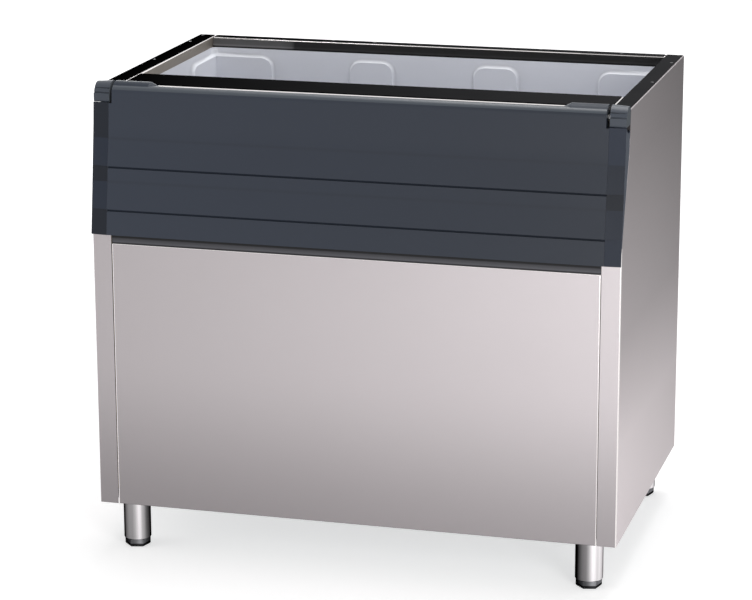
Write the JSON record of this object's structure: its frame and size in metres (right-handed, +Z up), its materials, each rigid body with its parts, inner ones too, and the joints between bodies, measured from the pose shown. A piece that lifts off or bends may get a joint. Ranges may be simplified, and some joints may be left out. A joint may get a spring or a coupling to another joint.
{
  "type": "ice bin",
  "caption": "Insulated ice storage bin: stainless cabinet on adjustable legs, light grey tank open at the top, dark flap door hinged along its upper edge.",
  "frame": {"origin": "centre of the footprint, on the floor under the feet", "axes": "+X to the right seen from the front, +Y from the door to the rear, +Z up"},
  "size_m": [1.25, 0.802, 1.13],
  "materials": {
    "brushed_steel": "vertical brushed grain",
    "galvanised_steel": "galvanised, dull",
    "rim_tape": "matt black",
    "tank_plastic": "light grey, satin",
    "foam": "rigid foam, pale cream",
    "sill_plastic": "dark grey, satin",
    "door_plastic": "dark blue-grey, satin",
    "door_end_plastic": "dark blue-grey, fine grain",
    "cap_plastic": "dark blue-grey, satin",
    "bush_plastic": "natural, smooth",
    "pin_steel": "turned",
    "buffer_rubber": "matt black",
    "drain_plastic": "black, satin",
    "strainer_plastic": "light grey, satin",
    "leg_fixing_steel": "zinc plated",
    "leg_steel": "bright drawn tube",
    "insert_plastic": "black",
    "foot_steel": "satin",
    "foot_plastic": "black",
    "screw_steel": "plain"
  },
  "bodies": {
    "cabinet": {"left_side_panel": "brushed_steel", "right_side_panel": "brushed_steel", "front_panel": "brushed_steel", "front_rail": "brushed_steel", "rear_panel": "brushed_steel", "base_panel": "galvanised_steel", "rim_seal_left": "rim_tape", "rim_seal_right": "rim_tape", "rim_seal_front": "rim_tape", "rim_seal_rear": "rim_tape", "liner": "tank_plastic", "foam_insulation": "foam", "door_sill": "sill_plastic", "hinge_cap_left": "cap_plastic", "hinge_cap_right": "cap_plastic", "hinge_pin_left": "pin_steel", "hinge_pin_right": "pin_steel", "door_buffer_left": "buffer_rubber", "door_buffer_right": "buffer_rubber", "drain_outlet": "drain_plastic", "drain_locknut": "drain_plastic", "drain_strainer": "strainer_plastic", "leg_plate_front_left": "leg_fixing_steel", "leg_tube_front_left": "leg_steel", "leg_insert_front_left": "insert_plastic", "leg_plate_front_right": "leg_fixing_steel", "leg_tube_front_right": "leg_steel", "leg_insert_front_right": "insert_plastic", "leg_plate_rear_left": "leg_fixing_steel", "leg_tube_rear_left": "leg_steel", "leg_insert_rear_left": "insert_plastic", "leg_plate_rear_right": "leg_fixing_steel", "leg_tube_rear_right": "leg_steel", "leg_insert_rear_right": "insert_plastic", "rim_screw_left_1": "screw_steel", "rim_screw_left_2": "screw_steel", "rim_screw_left_3": "screw_steel", "rim_screw_right_1": "screw_steel", "rim_screw_right_2": "screw_steel", "rim_screw_right_3": "screw_steel", "rim_screw_rear_1": "screw_steel", "rim_screw_rear_2": "screw_steel", "rim_screw_rear_3": "screw_steel", "rim_screw_rear_4": "screw_steel"},
    "door": {"door_shell": "door_plastic", "door_inner_panel": "door_plastic", "door_foam": "foam", "door_end_left": "door_end_plastic", "door_end_right": "door_end_plastic", "door_bush_left": "bush_plastic", "door_bush_right": "bush_plastic"},
    "foot_front_left": {"leg_foot_front_left": "foot_steel", "leg_pad_front_left": "foot_plastic"},
    "foot_front_right": {"leg_foot_front_right": "foot_steel", "leg_pad_front_right": "foot_plastic"},
    "foot_rear_left": {"leg_foot_rear_left": "foot_steel", "leg_pad_rear_left": "foot_plastic"},
    "foot_rear_right": {"leg_foot_rear_right": "foot_steel", "leg_pad_rear_right": "foot_plastic"}
  },
  "joints": [
    {"name": "door_hinge", "type": "hinge", "parent": "cabinet", "child": "door", "pos_m": [0, -0.33, 1.1], "axis": [-1, 0, 0], "range_deg": [0, 100]},
    {"name": "foot_front_left_screw", "type": "slide", "parent": "cabinet", "child": "foot_front_left", "axis": [0, 0, -1], "range_m": [0, 0.033]},
    {"name": "foot_front_right_screw", "type": "slide", "parent": "cabinet", "child": "foot_front_right", "axis": [0, 0, -1], "range_m": [0, 0.033]},
    {"name": "foot_rear_left_screw", "type": "slide", "parent": "cabinet", "child": "foot_rear_left", "axis": [0, 0, -1], "range_m": [0, 0.033]},
    {"name": "foot_rear_right_screw", "type": "slide", "parent": "cabinet", "child": "foot_rear_right", "axis": [0, 0, -1], "range_m": [0, 0.033]}
  ]
}
